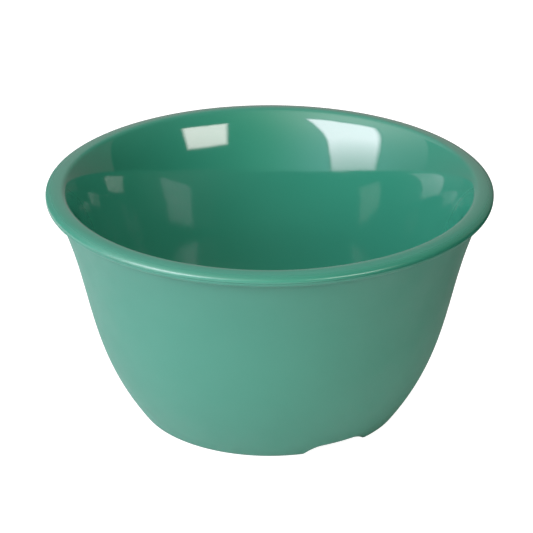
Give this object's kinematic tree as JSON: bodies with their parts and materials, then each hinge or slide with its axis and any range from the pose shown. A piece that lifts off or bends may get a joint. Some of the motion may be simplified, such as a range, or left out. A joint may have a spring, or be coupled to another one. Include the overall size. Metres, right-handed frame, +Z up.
{
  "type": "mixing bowl",
  "caption": "Small round melamine mixing or prep bowl: rounded flared lip, S-curved wall, glossy glazed inside, satin outside, foot ring with drain notches.",
  "frame": {"origin": "middle of the underside of the foot ring, on the surface that the bowl stands on", "axes": "+Z up along the bowl's axis of revolution; -Y is the front, with one drain notch 30.2 degrees to its right, towards +X"},
  "size_m": [0.1016, 0.1016, 0.054],
  "materials": {
    "body_melamine": "satin, as moulded; a very fine even surface",
    "glaze_resin": "high gloss clear glaze over the same green"
  },
  "bodies": {
    "root": {"bowl_body": "body_melamine", "inner_glaze": "glaze_resin"}
  },
  "joints": []
}
